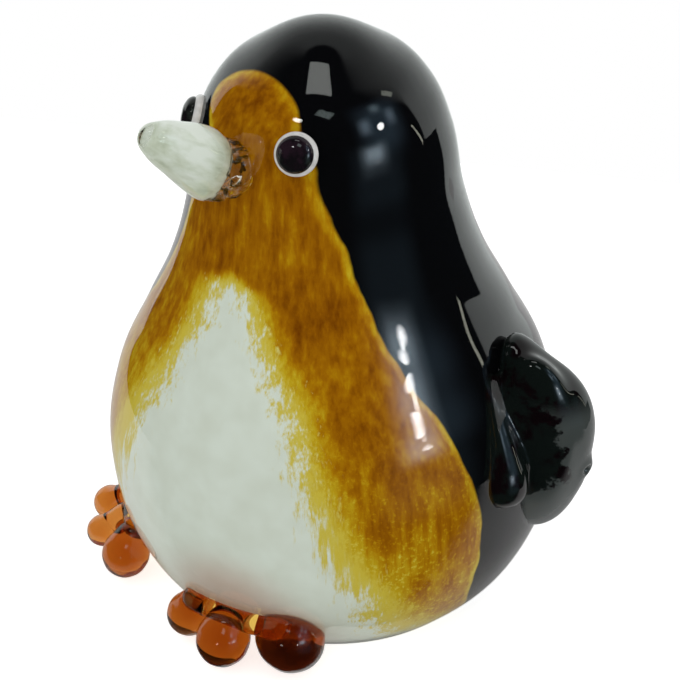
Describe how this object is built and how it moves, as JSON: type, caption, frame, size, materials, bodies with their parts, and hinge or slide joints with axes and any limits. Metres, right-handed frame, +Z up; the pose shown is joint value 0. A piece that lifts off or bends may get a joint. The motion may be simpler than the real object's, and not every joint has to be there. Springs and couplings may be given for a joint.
{
  "type": "glass penguin figurine",
  "caption": "Round solid glass penguin standing on a flat ground base, with an applied beak, eyes, wings and drop feet; a shelf ornament or paperweight.",
  "frame": {"origin": "middle of the ground flat base", "axes": "+Z up, -Y is the way the bird faces, +X is the bird's left"},
  "size_m": [0.1042, 0.0945, 0.125],
  "materials": {
    "clear_crystal": "clear, fire-polished",
    "opal_white": "opaque milk white with a faint green cast",
    "amber_frit": "opaque streaked amber, feathered at its edges",
    "black_glass": "opaque black, fire-polished",
    "pearl_white": "opaque pearl white",
    "foot_amber": "transparent reddish amber, fire-polished"
  },
  "bodies": {
    "root": {"clear_casing": "clear_crystal", "opal_core": "opal_white", "amber_breast": "amber_frit", "black_mantle": "black_glass", "beak_core": "pearl_white", "beak_casing": "clear_crystal", "beak_collar": "clear_crystal", "left_eye_white": "opal_white", "right_eye_white": "opal_white", "left_eye_pupil": "black_glass", "right_eye_pupil": "black_glass", "left_wing": "black_glass", "right_wing": "black_glass", "left_foot_pad": "foot_amber", "right_foot_pad": "foot_amber", "left_toe_inner": "foot_amber", "left_toe_middle": "foot_amber", "left_toe_outer": "foot_amber", "right_toe_inner": "foot_amber", "right_toe_middle": "foot_amber", "right_toe_outer": "foot_amber"}
  },
  "joints": []
}
